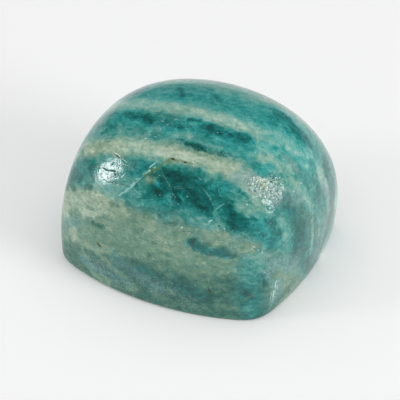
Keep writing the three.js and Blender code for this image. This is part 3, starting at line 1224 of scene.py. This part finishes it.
# Each kind of mark in the order it is laid on: how much its edge is shaken, its shade, the reach at
# which it starts and is full, and its strength
MARK_SHADES = [
    ("stains", 1.0, IRON_STAIN, -0.14, 0.16, 0.8),
    ("grains", 0.3, DARK_MINERAL, -0.03, 0.05, 0.9),
    # the dark of nicks and cracks is painted shade
    ("nicks", 0.0, NICK_PAINTED_SHADE, -0.02, 0.05, 0.75),
    # the chip glints are a painted highlight
    ("chip_glints", 0.0, PAINTED_GLINT, -0.02, 0.06, 0.75),
    ("cracks", 0.0, CRACK_PAINTED_SHADE, -0.02, 0.04, 0.95),
]
# Small sharp flecks: how many of the cells hold one where the stone is fully speckled, their shade,
# and a shift that keeps the two kinds apart
FLECKS = [
    (0.30, PALE_FLECK_AND_GLINT, 0),
    (0.22, DARK_FLECK, 50),
]
FLECKS_ANYWHERE = 0.04
FINE_RELIEF = 0.02                 # mm
POLISH_ROUGHNESS = (0.06, 0.34)    # where the polish is best, and where it is worn
CRACK_ROUGHNESS = 0.7
FELDSPAR_IOR = 1.53


def layered_paleness(tree, places):
    """How pale the stone is: its layers, the bodies in them, and mottling at every scale."""
    wander = clouds(tree, stretched(tree, places, 0.22, 0.3, 0.35), 1.0, detail=3)
    frayed = clouds(tree, stretched(tree, places, 0.7, 1.0, 1.3), 1.0, detail=6, roughness=0.6)
    height = calculate(tree, "MULTIPLY_ADD", wander, 0.8, read_attribute(tree, "layer"))
    height = calculate(tree, "MULTIPLY_ADD", frayed, 1.4, height)
    paleness = ramp(tree, height, LAYERS)
    cover = calculate(tree, "MULTIPLY_ADD", frayed, 1.2, read_attribute(tree, "cover"))
    cover = rescale(tree, cover, 0.12, 0.68, smooth=True)
    paleness = blend_values(tree, cover, paleness, read_attribute(tree, "tone"))
    for packing, detail, roughness, distortion, strength in MOTTLING:
        packed = stretched(tree, places, *packing)
        pattern = clouds(tree, packed, 1.0, detail, roughness, distortion)
        paleness = calculate(tree, "MULTIPLY_ADD", pattern, strength, paleness)
    return paleness


def cleavage_net(tree, places, paleness):
    """A faint pale net of cleavage, here and there."""
    wavy = add_node(tree, "ShaderNodeTexNoise", {"Vector": places, "Scale": 0.7, "Detail": 3.0})
    bent = blend_colours(tree, 0.55, places, wavy.outputs["Color"], "ADD")
    net = add_node(tree, "ShaderNodeTexVoronoi", {"Vector": bent, "Scale": 0.42},
                   feature="DISTANCE_TO_EDGE")
    line = rescale(tree, net.outputs["Distance"], 0.0, 0.045, 0.22, 0.0)
    faint = rescale(tree, clouds(tree, places, 0.5, detail=2), 0.0, 0.12)
    return calculate(tree, "MULTIPLY_ADD", line, faint, paleness)


def feldspar_colour(tree, places):
    """The stone's colour without its marks: each kind of feldspar, by how pale it is."""
    paleness = cleavage_net(tree, places, layered_paleness(tree, places))
    tinge = clouds(tree, places, 0.6, detail=5, roughness=0.6)
    colour = ramp(tree, paleness, COOL_FELDSPAR)
    for kind, stops, swing in FELDSPAR_KINDS:
        share = calculate(tree, "MULTIPLY_ADD", tinge, swing, read_attribute(tree, kind))
        hue = ramp(tree, paleness, stops)
        colour = blend_colours(tree, rescale(tree, share, 0.05, 0.95, 0, 0.95), colour, hue)
    return colour


def healed_cracks(tree, places, colour):
    """The healed cracks' thin pale lines."""
    shaken = clouds(tree, places, 1.5, detail=4)
    vein = calculate(tree, "MULTIPLY_ADD", shaken, 0.2, read_attribute(tree, "veins"))
    return tint(tree, colour, HEALED_CRACK, vein, -0.05, 0.12, 0.8, smooth=True)


def specks(tree, places, colour):
    """Fine pale streaks along the layers and small sharp flecks, thickest in speckled places; the
    pale flecks are partly painted glints.
    """
    speckled = read_attribute(tree, "speckled")
    fine = clouds(tree, stretched(tree, places, 2.0, 6.0, 7.5), 1.0, detail=3, roughness=0.8)
    streak = calculate(tree, "SUBTRACT", fine, rescale(tree, speckled, 0, 1, 0.19, 0.05))
    colour = tint(tree, colour, PALE_SPECK, streak, 0.0, 0.10, 0.6)
    for density, shade, shift in FLECKS:
        cells = add_node(tree, "ShaderNodeTexVoronoi", {
            "Vector": stretched(tree, places, 1.8, 2.8, 3.2, (shift, shift, 0)), "Scale": 1.0})
        chance = add_node(tree, "ShaderNodeSeparateColor", {"Color": cells.outputs["Color"]})
        chosen = calculate(tree, "MULTIPLY_ADD", speckled, density, FLECKS_ANYWHERE)
        chosen = calculate(tree, "LESS_THAN", chance.outputs["Red"], chosen)
        size = rescale(tree, chance.outputs["Green"], 0, 1, 0.10, 0.26)
        inside = calculate(tree, "SUBTRACT", size, cells.outputs["Distance"])
        inside = calculate(tree, "MULTIPLY", inside, chosen)
        colour = tint(tree, colour, shade, inside, 0.0, 0.08, 0.7)
    return colour


def stained(tree, places, colour):
    """Iron stain, dark grains, the painted glints of chip breaks, and painted shade inside cracks
    and nicks.
    """
    noise_at_edges = clouds(tree, places, 3.0, detail=5, roughness=0.7)
    for kind, shaking, shade, start, full, strength in MARK_SHADES:
        reach = calculate(tree, "MULTIPLY_ADD", noise_at_edges, shaking, read_attribute(tree, kind))
        colour = tint(tree, colour, shade, reach, start, full, strength)
    return colour


def crazing_frame(tree, places):
    """Coordinates for the crazing's small facets, which are drawn out across the layers."""
    shaken = add_node(tree, "ShaderNodeTexNoise", {"Vector": places, "Scale": 2.0, "Detail": 3.0})
    shaken = blend_colours(tree, 0.5, places, shaken.outputs["Color"], "ADD")
    return stretched(tree, shaken, 3.2, 2.0, 2.0)


def crazing_painted_shade(tree, places, colour):
    """Painted shade: the dark lines between the crazing's facets."""
    net = add_node(tree, "ShaderNodeTexVoronoi", {
        "Vector": crazing_frame(tree, places), "Scale": 1.0}, feature="DISTANCE_TO_EDGE")
    broken = clouds(tree, places, 2.4, detail=3)
    line = calculate(tree, "MULTIPLY_ADD", broken, -0.5, net.outputs["Distance"])
    line = rescale(tree, line, 0.0, 0.08, 0.9, 0.0)
    line = calculate(tree, "MULTIPLY", line, read_attribute(tree, "crazed"))
    return tint(tree, colour, CRACK_PAINTED_SHADE, line, 0, 1, 1)


def fine_relief(tree, places):
    """Unevenness finer than the mesh: the polish's shallow grain, and facets where it is crazed."""
    grain = clouds(tree, places, 1.4, detail=6, roughness=0.62)
    facets = add_node(tree, "ShaderNodeTexVoronoi", {
        "Vector": crazing_frame(tree, places), "Scale": 1.0})
    broken = calculate(tree, "MULTIPLY", facets.outputs["Distance"], read_attribute(tree, "crazed"))
    height = calculate(tree, "MULTIPLY_ADD", broken, 4.0, grain)
    bump = add_node(tree, "ShaderNodeBump", {
        "Height": height, "Strength": 1.0, "Distance": FINE_RELIEF * MM})
    return bump.outputs["Normal"]


def stone_material():
    """Layered blue-green and cream feldspar under a waxy polish."""
    material = bpy.data.materials.new("layered_amazonite")
    material.use_nodes = True
    tree = material.node_tree
    shader = tree.nodes["Principled BSDF"]
    places = layer_frame(tree)

    colour = feldspar_colour(tree, places)
    colour = healed_cracks(tree, places, colour)
    colour = specks(tree, places, colour)
    colour = crazing_painted_shade(tree, places, colour)
    colour = stained(tree, places, colour)
    tree.links.new(colour, shader.inputs["Base Color"])

    worn = clouds(tree, stretched(tree, places, 1.0, 2.4, 3.2), 1.0, detail=6, roughness=0.75)
    roughness = rescale(tree, worn, -0.08, 0.18, *POLISH_ROUGHNESS)
    opened = rescale(tree, read_attribute(tree, "cracks"), -0.02, 0.04)
    roughness = blend_values(tree, opened, roughness, CRACK_ROUGHNESS)
    tree.links.new(roughness, shader.inputs["Roughness"])
    tree.links.new(fine_relief(tree, places), shader.inputs["Normal"])
    shader.inputs["IOR"].default_value = FELDSPAR_IOR
    return material


# The scene

add_camera()
add_world()
add_floor()
for name, values in SOFTBOXES.items():
    add_softbox(name, *values)

stone = copy_of_solid()
smooth_surface(stone)
marks = all_marks(stone)
refine_marks(stone, marks)
paint_stone(stone, marks)
relief(stone, marks)
stone.data.materials.clear()
stone.data.materials.append(stone_material())

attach(stone, "root")
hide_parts(STONE_NODE)

bpy.context.scene.view_settings.view_transform = "Standard"
